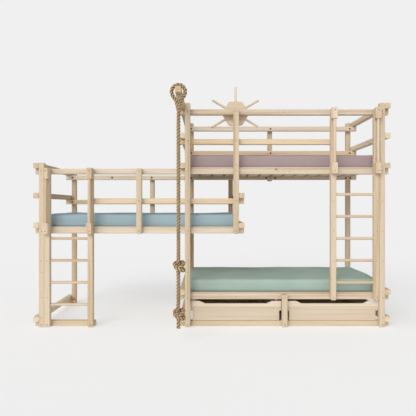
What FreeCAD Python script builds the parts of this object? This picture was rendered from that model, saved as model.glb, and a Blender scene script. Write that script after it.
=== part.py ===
import FreeCAD
import Part
import math
import os

# Triple bunk bed of square timber. A tower on the right carries a low and a high bed,
# and a side bed half-way up overlaps the tower on the left. X runs along the beds to the
# right, Y to the back and Z up. The origin lies on the floor in the middle of the outline.

# Timber
BEAM = 55.0
EDGE_BEVEL = 4.0
END_BEVEL = 7.0

# Mattresses and the room around them
MATTRESS_LENGTH = 2000.0
MATTRESS_WIDTH = 900.0
MATTRESS_HEIGHT = 148.0
MATTRESS_PLAY = 10.0
MATTRESS_CROWN = 4.0
MATTRESS_BULGE = 5.0
MATTRESS_CORNER = 18.0
MATTRESS_END_DRAW = 60.0
BAYS_PER_BED = 4

# Heights of the rails' undersides
LOW_BED = 273.0
SIDE_BED = 945.0
GUARD_PITCH = 303.0

# How far the crane beam stands out in front of the posts
CRANE_REACH = 630.0

# Ends of the side bed's short rails, and of the back guard post below its rail
FLOOR_RAIL_SPARE = 8.0
SIDE_GUARD_GAP = 2.0
GUARD_POST_DROP = 14.0

# Slatted bases
STRIP_HEIGHT = 15.0
CLEAT_THICK = 22.0
SLAT_THICK = 15.0
SLAT_WIDTH = 118.0
SLAT_GAP = 23.3
SLAT_START = 10.0
SLAT_END_PLAY = 2.0
CLEAT_SCREW_SIZE = 14.0
CLEAT_SCREW_TOP = 9.0
CLEAT_SCREW_HEAD = 2.5

# Ladders
RUNG_DIAMETER = 28.0
RUNG_FIRST = 228.0
RUNG_PITCH = 223.0
RUNG_SOCKET = 30.0
SIDE_RUNGS = 4
TOWER_RUNGS = 5
RUNGS_BELOW_TOWER_LADDER = 1
GLUE_FIT = 0.05

# Grab handles
HANDLE_BLOCK_HEIGHT = 110.0
HANDLE_BAR = 28.0
HANDLE_STANDOFF = 33.0
HANDLE_SOCKET = 40.0

# Bolts
BOLT_HEAD = 16.0
BOLT_HEAD_TOP = 9.0
BOLT_HEAD_HEIGHT = 3.5
BOLT_CAP = 24.0
BOLT_CAP_TOP = 18.0
BOLT_CAP_HEIGHT = 4.0
HEAD_SIDES = 6

# Drawers
DRAWER_SIDE_PLAY = 3.0
DRAWER_FRONT_LIFT = 3.0
DRAWER_TOP_PLAY = 18.0
DRAWER_FRONT_THICK = 20.0
DRAWER_DEPTH = 900.0
DRAWER_BOARD = 18.0
DRAWER_SIDE_HEIGHT = 172.0
DRAWER_SIDE_INSET = 12.0
DRAWER_BOTTOM = 8.0
DRAWER_GROOVE = 6.0
DRAWER_GROOVE_LIFT = 12.0
DRAWER_GROOVE_PLAY = 0.2
DIP_SHOULDER = 92.0
DIP_SLOPE = 55.0
DIP_DEPTH = 25.0
DIP_ROUND = 22.0
NOTCH_WIDTH = 20.0
NOTCH_HEIGHT = 100.0
RUNNER_WIDTH = 45.0
RUNNER_HEIGHT = 40.0

# Steering wheel
WHEEL_FLATS = 246.0
WHEEL_THICK = 30.0
WHEEL_CORNER = 14.0
WHEEL_EDGE = 3.0
WHEEL_SPOKES = 6
SPOKE_DIAMETER = 22.5
SPOKE_RADIUS = 276.0
SPOKE_SOCKET = 40.0
WHEEL_SPACER = 50.0
WHEEL_SPACER_THICK = 14.0
SCREW_SHOULDER = 12.0
SCREW_THREAD = 8.0
SCREW_THREAD_LENGTH = 38.0
SCREW_HEAD = 24.0
SCREW_HEAD_HEIGHT = 6.0
RUNNING_FIT = 0.05
WHEEL_END_PLAY = 0.3

# Climbing rope
ROPE = 32.0
ROPE_SIDES = 10
ROPE_FROM_TIP = 60.0
EYE_WIDTH = 151.0
EYE_SEAT_PLAY = 0.3
EYE_BEND = 60.0
EYE_STRAIGHT = 30.0
SPLICE_LENGTH = 110.0
SPLICE_SPREAD_END = 2.0
ROPE_TAIL = 148.0
KNOT_LOW = 278.0
KNOT_HIGH = 699.0
KNOT_WIDTH = 105.0
KNOT_HEIGHT = 107.0
KNOT_TURNS = 3
KNOT_RINGS_PER_TURN = 4

X = FreeCAD.Vector(1, 0, 0)
Y = FreeCAD.Vector(0, 1, 0)
Z = FreeCAD.Vector(0, 0, 1)
ACROSS = {"x": (X, Y, Z), "y": (Y, Z, X), "z": (Z, X, Y)}

# The bay grid: eight post columns, the tower from 0 to 4 and the side bed from -3 to 1
SIDE_FIRST = -3
SIDE_LADDER = -2
SIDE_MIDDLE = -1
SIDE_LAST = 1
TOWER_FIRST = 0
TOWER_MIDDLE = 2
TOWER_LADDER = 3
TOWER_LAST = 4
ZONE_LENGTH = MATTRESS_LENGTH + 2 * MATTRESS_PLAY
ZONE_WIDTH = MATTRESS_WIDTH + 2 * MATTRESS_PLAY
COLUMN_PITCH = (ZONE_LENGTH - BEAM) / BAYS_PER_BED

# Depth planes, from the front posts' faces to the back posts' faces. The outline runs
# from the crane beam's tip to the bolt heads on the back posts.
FRAME_DEPTH = ZONE_WIDTH + 4 * BEAM
FRONT = (CRANE_REACH - FRAME_DEPTH - BOLT_HEAD_HEIGHT) / 2
FRONT_RAIL = FRONT + BEAM
ZONE_FRONT = FRONT_RAIL + BEAM
ZONE_BACK = ZONE_FRONT + ZONE_WIDTH
BACK_POST = ZONE_BACK + BEAM
BACK = BACK_POST + BEAM

# Rail levels above the side bed, and the tops of the posts
SIDE_GUARD = SIDE_BED + GUARD_PITCH
HIGH_BED = SIDE_BED + 2 * GUARD_PITCH
HIGH_GUARD = SIDE_BED + 3 * GUARD_PITCH
TOP_GUARD = SIDE_BED + 4 * GUARD_PITCH
SIDE_RAIL_TOP = HIGH_BED + BEAM
SIDE_TOP = SIDE_RAIL_TOP + BEAM
TOWER_RAIL_TOP = TOP_GUARD + BEAM
TOWER_TOP = TOWER_RAIL_TOP + BEAM

nodes = {}


def add(name, *solids):
    """Files solids under a node's name."""
    nodes.setdefault(name, []).extend(solids)


def column(index):
    """The middle of a post column, counted from the tower's left posts."""
    return (index - (SIDE_FIRST + TOWER_LAST) / 2) * COLUMN_PITCH


def column_left(index):
    return column(index) - BEAM / 2


def column_right(index):
    return column(index) + BEAM / 2


# The wheel spins on the crossing of the front hanging post and the top guard rail
WHEEL_HUB = FreeCAD.Vector(column(SIDE_LAST), ZONE_FRONT, TOP_GUARD + BEAM / 2)


def rounded_wire(corners, radii):
    """A closed flat outline whose corners are arcs of the given radii, or sharp at radius 0."""
    bends = []
    for k, corner in enumerate(corners):
        back = (corners[k - 1] - corner).normalize()
        ahead = (corners[(k + 1) % len(corners)] - corner).normalize()
        half = back.getAngle(ahead) / 2
        reach = radii[k] / math.tan(half)
        inward = (back + ahead).normalize()
        middle = corner + inward * (radii[k] / math.sin(half) - radii[k])
        bends.append((corner + back * reach, middle, corner + ahead * reach))
    edges = []
    for k, (start, middle, finish) in enumerate(bends):
        if radii[k] > 0:
            edges.append(Part.Arc(start, middle, finish).toShape())
        following = bends[(k + 1) % len(bends)][0]
        if finish.distanceToPoint(following) > 1e-6:
            edges.append(Part.LineSegment(finish, following).toShape())
    return Part.Wire(edges)


def bevelled_outline(corner, u, v, wide, tall):
    """The eight points of a rectangle with bevelled corners, from its lowest corner."""
    near = EDGE_BEVEL
    far_u = wide - EDGE_BEVEL
    far_v = tall - EDGE_BEVEL
    outline = [
        (near, 0), (far_u, 0), (wide, near), (wide, far_v),
        (far_u, tall), (near, tall), (0, far_v), (0, near),
    ]
    return [corner + u * across + v * up for across, up in outline]


def timber(axis, x, y, z, length, wide=BEAM, tall=BEAM):
    """A straight piece of timber with bevelled long edges, from its lowest corner along an axis."""
    along, u, v = ACROSS[axis]
    corners = bevelled_outline(FreeCAD.Vector(x, y, z), u, v, wide, tall)
    return Part.Face(Part.makePolygon(corners + corners[:1])).extrude(along * length)


def board(x, y, z, length, width, height):
    """A plain board from its lowest corner."""
    return Part.makeBox(length, width, height, FreeCAD.Vector(x, y, z))


def faceted(rings):
    """A closed solid with flat faces between rings of points that follow one another."""
    loops = [rings[0], rings[-1]]
    for near, far in zip(rings, rings[1:]):
        for k in range(len(near)):
            loops.append([near[k - 1], near[k], far[k], far[k - 1]])
    faces = [Part.Face(Part.makePolygon(loop + loop[:1])) for loop in loops]
    solid = Part.Solid(Part.Shell(faces))
    return solid if solid.Volume > 0 else solid.reversed()


def rod(diameter, start, along, length):
    return Part.makeCylinder(diameter / 2, length, start, along)


def upright(middle, y, bottom, top):
    """A post whose two ends are bevelled all round."""
    rings = []
    for height, inset in (
        (bottom, END_BEVEL), (bottom + END_BEVEL, 0), (top - END_BEVEL, 0), (top, END_BEVEL),
    ):
        corner = FreeCAD.Vector(middle - BEAM / 2 + inset, y + inset, height)
        side = BEAM - 2 * inset
        rings.append(bevelled_outline(corner, X, Y, side, side))
    return faceted(rings)


def front_post(middle, bottom, top):
    return upright(middle, FRONT, bottom, top)


def back_post(middle, bottom, top):
    return upright(middle, BACK_POST, bottom, top)


# The bolted crossings: (post middle, post bottom, post top) on each side, and
# (rail left, rail right, rail bottom) on each side
front_posts = []
back_posts = []
front_rails = []
back_rails = []


def posts(front_name, back_name, middle, bottom, top):
    """A front and a back post of one height; a name of None leaves that one out."""
    if front_name:
        add(front_name, front_post(middle, bottom, top))
        front_posts.append((middle, bottom, top))
    if back_name:
        add(back_name, back_post(middle, bottom, top))
        back_posts.append((middle, bottom, top))


def rails(name, bottom, front, back):
    """A front and a back rail at one height, each between two ends: (left, right)."""
    add(name, timber("x", front[0], FRONT_RAIL, bottom, front[1] - front[0]))
    add(name, timber("x", back[0], ZONE_BACK, bottom, back[1] - back[0]))
    front_rails.append((*front, bottom))
    back_rails.append((*back, bottom))


def make_posts():
    posts("tower_post_front_left", "tower_post_back_left", column(TOWER_FIRST), 0, TOWER_TOP)
    posts("tower_post_front_right", "tower_post_back_right", column(TOWER_LAST), 0, TOWER_TOP)
    posts("hanging_post_front", None, column(SIDE_LAST), SIDE_BED, TOWER_RAIL_TOP)
    posts(None, "hanging_post_back", column(SIDE_LAST), SIDE_BED, HIGH_BED + BEAM)
    posts(None, "guard_post_back", column(TOWER_MIDDLE), HIGH_BED - GUARD_POST_DROP, TOWER_RAIL_TOP)
    posts("centre_feet", "centre_feet", column(TOWER_MIDDLE), 0, LOW_BED + BEAM)
    posts("side_post_front", "side_post_back", column(SIDE_FIRST), 0, SIDE_TOP)
    posts("side_guard_posts", "side_guard_posts", column(SIDE_MIDDLE), SIDE_BED, SIDE_RAIL_TOP)


def make_rails():
    """The rails. The middle guard rails leave the way in from the ladders open."""
    tower_left = column_left(TOWER_FIRST) - BEAM
    tower = (tower_left, column_right(TOWER_LAST) + BEAM)
    rails("floor_rails", 0, tower, tower)
    rails("low_bed_rails", LOW_BED, tower, tower)
    rails("high_bed_rails", HIGH_BED, tower, tower)
    rails("high_guard_rails_middle", HIGH_GUARD, (tower_left, column_right(TOWER_LADDER)), tower)
    rails("high_guard_rails_top", TOP_GUARD, tower, tower)
    side_left = column_left(SIDE_FIRST) - BEAM
    side = (side_left, column_right(SIDE_LAST) + BEAM)
    rails("side_bed_rails", SIDE_BED, side, side)
    rails("side_guard_rails_middle", SIDE_GUARD, (column_left(SIDE_LADDER), side[1]), side)
    side_top = (side_left, tower_left - SIDE_GUARD_GAP)
    rails("side_guard_rails_top", HIGH_BED, side_top, side_top)
    ladder_end = column_right(SIDE_LADDER) + FLOOR_RAIL_SPARE
    block_end = column_right(SIDE_FIRST) + FLOOR_RAIL_SPARE
    rails("side_floor_rails", 0, (side_left, ladder_end), (side_left, block_end))


def cross_beam(left, bottom):
    """A beam from front to back that lies on the rails' ends, outside the posts."""
    return timber("y", left, FRONT, bottom + BEAM, FRAME_DEPTH)


def make_cross_beams():
    tower_left = column_left(TOWER_FIRST) - BEAM
    tower_right = column_right(TOWER_LAST)
    for level in (0, LOW_BED, HIGH_BED, HIGH_GUARD):
        add("tower_cross_beams_left", cross_beam(tower_left, level))
    for level in (0, LOW_BED, HIGH_BED, HIGH_GUARD, TOP_GUARD):
        add("tower_cross_beams_right", cross_beam(tower_right, level))
    for level in (0, SIDE_BED, SIDE_GUARD, HIGH_BED):
        add("side_cross_beams_left", cross_beam(column_left(SIDE_FIRST) - BEAM, level))
    for level in (SIDE_BED, SIDE_GUARD):
        add("side_cross_beams_right", cross_beam(column_right(SIDE_LAST), level))
    crane = timber("y", tower_left, FRONT - CRANE_REACH, TOWER_RAIL_TOP, CRANE_REACH + FRAME_DEPTH)
    tip = [face for face in crane.Faces if face.BoundBox.YMax < FRONT - CRANE_REACH + EDGE_BEVEL]
    add("crane_beam", crane.makeChamfer(EDGE_BEVEL, tip[0].Edges))


def mattress_section(x, y, z, inset, drop):
    """A cross-section with bulging sides and a crowned top, drawn in by inset and drop."""
    left = y + MATTRESS_BULGE + inset
    right = y + MATTRESS_WIDTH - MATTRESS_BULGE - inset
    top = z + MATTRESS_HEIGHT - MATTRESS_CROWN - drop
    bottom = z + drop / 2
    corner = MATTRESS_CORNER
    lean = corner * (1 - math.sqrt(0.5))

    def point(across, up):
        return FreeCAD.Vector(x, across, up)

    def arc(start, middle, finish):
        return Part.Arc(point(*start), point(*middle), point(*finish)).toShape()

    half_way = (bottom + top) / 2
    centre = (left + right) / 2
    return Part.Wire([
        Part.LineSegment(point(left + corner, bottom), point(right - corner, bottom)).toShape(),
        arc((right - corner, bottom), (right - lean, bottom + lean), (right, bottom + corner)),
        arc((right, bottom + corner), (right + MATTRESS_BULGE, half_way), (right, top - corner)),
        arc((right, top - corner), (right - lean, top - lean), (right - corner, top)),
        arc((right - corner, top), (centre, top + MATTRESS_CROWN), (left + corner, top)),
        arc((left + corner, top), (left + lean, top - lean), (left, top - corner)),
        arc((left, top - corner), (left - MATTRESS_BULGE, half_way), (left, bottom + corner)),
        arc((left, bottom + corner), (left + lean, bottom + lean), (left + corner, bottom)),
    ])


def mattress(left, base):
    """A mattress whose two ends are drawn in like its long sides."""
    x = left + MATTRESS_PLAY
    y = ZONE_FRONT + MATTRESS_PLAY
    draw = MATTRESS_CORNER
    stations = [
        (0, draw, draw),
        (draw / 3, draw / 3, draw / 3),
        (MATTRESS_END_DRAW, 0, 0),
    ]
    sections = [mattress_section(x + away, y, base, inset, drop) for away, inset, drop in stations]
    for away, inset, drop in reversed(stations):
        sections.append(mattress_section(x + MATTRESS_LENGTH - away, y, base, inset, drop))
    return Part.makeLoft(sections, True, True)


def low_head(base, top, height, at, outward):
    """A low head that tapers outward from a face, with few flats for its many copies."""
    u = Z
    v = outward.cross(Z)
    rings = []
    for size, lift in ((base, 0), (top, height)):
        ring = []
        for k in range(HEAD_SIDES):
            turn = 2 * math.pi * (k + 0.5) / HEAD_SIDES
            ring.append(at + outward * lift + (u * math.cos(turn) + v * math.sin(turn)) * (size / 2))
        rings.append(ring)
    return faceted(rings)


def slatted_base(bed, left, level):
    """Mattress strips on the two base rails, cleats inside them, slats and a mattress."""
    add("mattress_strips", timber("x", left, FRONT_RAIL, level + BEAM, ZONE_LENGTH, BEAM, STRIP_HEIGHT))
    add("mattress_strips", timber("x", left, ZONE_BACK, level + BEAM, ZONE_LENGTH, BEAM, STRIP_HEIGHT))
    cleat_height = BEAM - SLAT_THICK
    back_cleat = ZONE_BACK - CLEAT_THICK
    add("slat_cleats", board(left, ZONE_FRONT, level, ZONE_LENGTH, CLEAT_THICK, cleat_height))
    add("slat_cleats", board(left, back_cleat, level, ZONE_LENGTH, CLEAT_THICK, cleat_height))
    for k in range(1, BAYS_PER_BED):
        x = left + BEAM / 2 + k * COLUMN_PITCH
        z = level + cleat_height / 2
        front = FreeCAD.Vector(x, ZONE_FRONT + CLEAT_THICK, z)
        back = FreeCAD.Vector(x, back_cleat, z)
        for at, outward in ((front, Y), (back, -Y)):
            add("cleat_screws", low_head(
                CLEAT_SCREW_SIZE, CLEAT_SCREW_TOP, CLEAT_SCREW_HEAD, at, outward
            ))
    count = int((ZONE_LENGTH - SLAT_START + SLAT_GAP) // (SLAT_WIDTH + SLAT_GAP))
    for k in range(count):
        x = left + SLAT_START + k * (SLAT_WIDTH + SLAT_GAP)
        y = ZONE_FRONT + SLAT_END_PLAY
        slat_length = ZONE_WIDTH - 2 * SLAT_END_PLAY
        add(bed + "_slats", board(x, y, level + cleat_height, SLAT_WIDTH, slat_length, SLAT_THICK))
    add(bed + "_mattress", mattress(left, level + BEAM))


def ladder(name, left, right, bottom, top, first_rung, rung_count):
    """Two stiles, with rungs glued into blind sockets in their inner faces."""
    inner_left = left + BEAM / 2
    inner_right = right - BEAM / 2
    y = FRONT + BEAM / 2
    stiles = [front_post(left, bottom, top), front_post(right, bottom, top)]
    for k in range(first_rung, first_rung + rung_count):
        start = FreeCAD.Vector(inner_left - RUNG_SOCKET, y, RUNG_FIRST + k * RUNG_PITCH)
        length = inner_right - inner_left + 2 * RUNG_SOCKET
        add(name + "_rungs", rod(RUNG_DIAMETER, start, X, length))
        bore = rod(RUNG_DIAMETER + 2 * GLUE_FIT, start, X, length)
        stiles = [stile.cut(bore) for stile in stiles]
    add(name + "_stiles", *[stile.Solids[0] for stile in stiles])
    front_posts.append((left, bottom, top))
    front_posts.append((right, bottom, top))


# Faces that stand in front of a stile: (middle, bottom, top)
handle_faces = []


def grab_handle(middle, bottom, top):
    """Two blocks on a stile's face, with a round bar glued into both."""
    y = FRONT - BEAM
    end_wood = HANDLE_BLOCK_HEIGHT - HANDLE_SOCKET
    bar_start = FreeCAD.Vector(middle, FRONT - HANDLE_STANDOFF, bottom + end_wood)
    bar_length = top - bottom - 2 * end_wood
    bore = rod(HANDLE_BAR + 2 * GLUE_FIT, bar_start, Z, bar_length)
    for low in (bottom, top - HANDLE_BLOCK_HEIGHT):
        block = timber("z", middle - BEAM / 2, y, low, HANDLE_BLOCK_HEIGHT)
        add("handle_blocks", block.cut(bore).Solids[0])
        handle_faces.append((middle, low, low + HANDLE_BLOCK_HEIGHT))
    add("handle_bars", rod(HANDLE_BAR, bar_start, Z, bar_length))


def make_ladders():
    side_left = column(SIDE_FIRST) + BEAM
    side_right = column(SIDE_LADDER)
    ladder("side_ladder", side_left, side_right, 0, SIDE_RAIL_TOP, 0, SIDE_RUNGS)
    tower_left = column(TOWER_LADDER)
    tower_right = column(TOWER_LAST) - BEAM
    skipped = RUNGS_BELOW_TOWER_LADDER
    ladder("tower_ladder", tower_left, tower_right, LOW_BED, TOWER_RAIL_TOP, skipped, TOWER_RUNGS)
    for middle in (side_left, side_right):
        grab_handle(middle, SIDE_BED, SIDE_RAIL_TOP)
    for middle in (tower_left, tower_right):
        grab_handle(middle, HIGH_BED, TOWER_RAIL_TOP)


def front_face(middle, height):
    """How far forward the face lies that a bolt head sits on."""
    for block_middle, low, high in handle_faces:
        if abs(block_middle - middle) < BEAM / 2 and low < height < high:
            return FRONT - BEAM
    return FRONT


def bolt_head(at, outward):
    add("bolt_heads", low_head(BOLT_HEAD, BOLT_HEAD_TOP, BOLT_HEAD_HEIGHT, at, outward))


def bolt_cap(at, outward):
    add("bolt_caps", low_head(BOLT_CAP, BOLT_CAP_TOP, BOLT_CAP_HEIGHT, at, outward))


def make_bolts():
    """A bolt at each crossing of a post and a rail, and at each end of a cross beam."""
    cleated = (LOW_BED, SIDE_BED, HIGH_BED)
    sides = (
        (front_posts, front_rails, -Y, ZONE_FRONT),
        (back_posts, back_rails, Y, ZONE_BACK),
    )
    for side_posts, side_rails, outward, inner_face in sides:
        for middle, bottom, top in side_posts:
            for left, right, level in side_rails:
                height = level + BEAM / 2
                if not (left < middle < right and bottom < height < top):
                    continue
                face = BACK if outward == Y else front_face(middle, height)
                bolt_head(FreeCAD.Vector(middle, face, height), outward)
                inner = FreeCAD.Vector(middle, inner_face, height)
                if level not in cleated and inner.distanceToPoint(WHEEL_HUB) > WHEEL_SPACER:
                    bolt_cap(inner, -outward)
    for name, outward in (
        ("tower_cross_beams_left", -X),
        ("crane_beam", -X),
        ("side_cross_beams_left", -X),
        ("tower_cross_beams_right", X),
        ("side_cross_beams_right", X),
    ):
        for beam in nodes[name]:
            box = beam.BoundBox
            face = box.XMax if outward == X else box.XMin
            height = box.ZMin + BEAM / 2
            bolt_head(FreeCAD.Vector(face, FRONT + BEAM / 2, height), outward)
            bolt_head(FreeCAD.Vector(face, BACK - BEAM / 2, height), outward)


def drawer_front(left, right, bottom, top):
    """A board with a shallow hand dip along its top and a notch in each lower corner."""
    outline = [
        (left + NOTCH_WIDTH, bottom, 0),
        (right - NOTCH_WIDTH, bottom, 0),
        (right - NOTCH_WIDTH, bottom + NOTCH_HEIGHT, 0),
        (right, bottom + NOTCH_HEIGHT, 0),
        (right, top, 0),
        (right - DIP_SHOULDER, top, DIP_ROUND),
        (right - DIP_SHOULDER - DIP_SLOPE, top - DIP_DEPTH, DIP_ROUND),
        (left + DIP_SHOULDER + DIP_SLOPE, top - DIP_DEPTH, DIP_ROUND),
        (left + DIP_SHOULDER, top, DIP_ROUND),
        (left, top, 0),
        (left, bottom + NOTCH_HEIGHT, 0),
        (left + NOTCH_WIDTH, bottom + NOTCH_HEIGHT, 0),
    ]
    corners = [FreeCAD.Vector(x, FRONT_RAIL, z) for x, z, _ in outline]
    radii = [radius for _, _, radius in outline]
    return Part.Face(rounded_wire(corners, radii)).extrude(Y * DRAWER_FRONT_THICK)


def drawer(name, bay_left, bay_right):
    """A drawer on two runners, made of boards around a bottom that lies in grooves."""
    left = bay_left + DRAWER_SIDE_PLAY
    right = bay_right - DRAWER_SIDE_PLAY
    box_front = FRONT_RAIL + DRAWER_FRONT_THICK
    box_back = FRONT_RAIL + DRAWER_DEPTH
    side_left = left + NOTCH_WIDTH + DRAWER_SIDE_INSET
    side_right = right - NOTCH_WIDTH - DRAWER_SIDE_INSET - DRAWER_BOARD
    inner_left = side_left + DRAWER_BOARD
    inner_width = side_right - inner_left
    inner_back = box_back - DRAWER_BOARD
    base = BEAM
    bottom_z = base + DRAWER_GROOVE_LIFT
    groove = board(
        inner_left - DRAWER_GROOVE,
        box_front - DRAWER_GROOVE,
        bottom_z,
        inner_width + 2 * DRAWER_GROOVE,
        inner_back - box_front + 2 * DRAWER_GROOVE,
        DRAWER_BOTTOM + DRAWER_GROOVE_PLAY,
    )
    front_top = LOW_BED - DRAWER_TOP_PLAY
    front = drawer_front(left, right, base + DRAWER_FRONT_LIFT, front_top)
    add(name + "_front", front.cut(groove).Solids[0])
    for x in (side_left, side_right):
        side = board(x, box_front, base, DRAWER_BOARD, box_back - box_front, DRAWER_SIDE_HEIGHT)
        add(name + "_sides", side.cut(groove).Solids[0])
        runner_x = x + DRAWER_BOARD / 2 - RUNNER_WIDTH / 2
        add("drawer_runners", board(
            runner_x, ZONE_FRONT, base - RUNNER_HEIGHT, RUNNER_WIDTH, ZONE_WIDTH, RUNNER_HEIGHT
        ))
    back = board(inner_left, inner_back, base, inner_width, DRAWER_BOARD, DRAWER_SIDE_HEIGHT)
    add(name + "_back", back.cut(groove).Solids[0])
    add(name + "_bottom", board(
        inner_left - DRAWER_GROOVE,
        box_front - DRAWER_GROOVE,
        bottom_z,
        inner_width + 2 * DRAWER_GROOVE,
        inner_back - box_front + 2 * DRAWER_GROOVE,
        DRAWER_BOTTOM,
    ))


def make_drawers():
    drawer("drawer_left", column_right(TOWER_FIRST), column_left(TOWER_MIDDLE))
    drawer("drawer_right", column_right(TOWER_MIDDLE), column_left(TOWER_LAST))


def make_wheel():
    """A hexagonal plate with turned spokes that spins on a shoulder screw in the top guard rail."""
    hub = WHEEL_HUB
    plate_front = hub + Y * WHEEL_SPACER_THICK
    corner_radius = WHEEL_FLATS / 2 / math.cos(math.pi / WHEEL_SPOKES)
    corners = []
    for k in range(WHEEL_SPOKES):
        turn = 2 * math.pi * k / WHEEL_SPOKES
        corners.append(plate_front + (X * math.cos(turn) + Z * math.sin(turn)) * corner_radius)
    outline = []
    for k, corner in enumerate(corners):
        for neighbour in (corners[k - 1], corners[(k + 1) % WHEEL_SPOKES]):
            outline.append(corner + (neighbour - corner).normalize() * WHEEL_CORNER)
    plate = Part.Face(Part.makePolygon(outline + outline[:1])).extrude(Y * WHEEL_THICK)
    rims = [edge for face in plate.Faces if abs(face.normalAt(0, 0).y) > 0.9 for edge in face.Edges]
    plate = plate.makeChamfer(WHEEL_EDGE, rims)
    plate = plate.cut(rod(SCREW_SHOULDER + 2 * RUNNING_FIT, plate_front, Y, WHEEL_THICK))
    spoke_start = WHEEL_FLATS / 2 - SPOKE_SOCKET
    for k in range(WHEEL_SPOKES):
        turn = 2 * math.pi * (k + 0.5) / WHEEL_SPOKES
        outward = X * math.cos(turn) + Z * math.sin(turn)
        start = plate_front + Y * (WHEEL_THICK / 2) + outward * spoke_start
        add("wheel_spokes", rod(SPOKE_DIAMETER, start, outward, SPOKE_RADIUS - spoke_start))
        plate = plate.cut(rod(SPOKE_DIAMETER + 2 * GLUE_FIT, start, outward, SPOKE_RADIUS - spoke_start))
    add("wheel_plate", plate.Solids[0])
    half = WHEEL_SPACER / 2
    spacer = timber(
        "y", hub.x - half, hub.y, hub.z - half, WHEEL_SPACER_THICK, WHEEL_SPACER, WHEEL_SPACER
    )
    add("wheel_spacer", spacer.cut(rod(SCREW_SHOULDER + 2 * RUNNING_FIT, hub, Y, WHEEL_SPACER_THICK)))
    shoulder = WHEEL_SPACER_THICK + WHEEL_THICK + WHEEL_END_PLAY
    screw = rod(SCREW_THREAD, hub - Y * SCREW_THREAD_LENGTH, Y, SCREW_THREAD_LENGTH)
    screw = screw.fuse(rod(SCREW_SHOULDER, hub, Y, shoulder))
    head = low_head(SCREW_HEAD, SCREW_HEAD, SCREW_HEAD_HEIGHT, hub + Y * shoulder, Y)
    screw = screw.fuse(head).removeSplitter()
    add("wheel_screw", screw.Solids[0])
    thread_start = hub - Y * SCREW_THREAD_LENGTH
    thread_bore = rod(SCREW_THREAD + 2 * GLUE_FIT, thread_start, Y, SCREW_THREAD_LENGTH)
    top_rails = nodes["high_guard_rails_top"]
    top_rails[0] = top_rails[0].cut(thread_bore).Solids[0]


def rope_ring(at, radius):
    """The rope's many-sided outline in a level plane, with corners to the left and right."""
    ring = []
    for k in range(ROPE_SIDES):
        turn = 2 * math.pi * k / ROPE_SIDES
        ring.append(at + X * (radius * math.cos(turn)) + Y * (radius * math.sin(turn)))
    return ring


def rope_stretch(middle, top, bottom):
    ends = (FreeCAD.Vector(middle.x, middle.y, height) for height in (bottom, top))
    return faceted([rope_ring(end, ROPE / 2) for end in ends])


def knot(middle, height):
    """The outer form of an overhand knot: fat turns of rope, one above the other."""
    rings = KNOT_TURNS * KNOT_RINGS_PER_TURN
    lobe = KNOT_HEIGHT / KNOT_TURNS
    sections = []
    for k in range(rings + 1):
        swell = abs(math.sin(math.pi * k / KNOT_RINGS_PER_TURN))
        up = height - KNOT_HEIGHT / 2 + KNOT_HEIGHT * k / rings
        at = FreeCAD.Vector(middle.x, middle.y, up)
        sections.append(rope_ring(at, KNOT_WIDTH / 2 - lobe / 2 * (1 - swell)))
    return faceted(sections)


def eye_path(middle, centre, throat, eye_radius):
    """From one leg's foot, out and over the beam, to the other leg's foot."""

    def point(across, up):
        return FreeCAD.Vector(middle.x + across, middle.y, up)

    # Each leg leaves the splice upright, leans out on its own arc and meets the arc over the beam.
    bend_middle = ROPE / 2 + EYE_BEND
    lean = math.atan2(EYE_STRAIGHT, EYE_BEND + eye_radius)
    turn = math.atan2(centre - throat, bend_middle) - lean
    legs = []
    for side in (-1, 1):
        foot = point(side * ROPE / 2, throat)
        arc = []
        for angle in (turn / 2, turn):
            out = bend_middle - EYE_BEND * math.cos(angle)
            arc.append(point(side * out, throat + EYE_BEND * math.sin(angle)))
        meet = point(side * eye_radius * math.cos(turn), centre - eye_radius * math.sin(turn))
        legs.append((foot, arc[0], arc[1], meet))
    left, right = legs
    return Part.Wire([
        Part.Arc(left[0], left[1], left[2]).toShape(),
        Part.LineSegment(left[2], left[3]).toShape(),
        Part.Arc(left[3], point(0, centre + eye_radius), right[3]).toShape(),
        Part.LineSegment(right[3], right[2]).toShape(),
        Part.Arc(right[2], right[1], right[0]).toShape(),
    ])


def splice_ring(middle, up, half_spread):
    """An outline round two rope ends side by side, which close to one where the spread ends."""
    ring = []
    for k in range(ROPE_SIDES + 2):
        right = k <= ROPE_SIDES // 2
        turn = 2 * math.pi * (k if right else k - 1) / ROPE_SIDES - math.pi / 2
        across = ROPE / 2 * math.cos(turn) + (half_spread if right else -half_spread)
        ring.append(FreeCAD.Vector(middle.x + across, middle.y + ROPE / 2 * math.sin(turn), up))
    return ring


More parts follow.
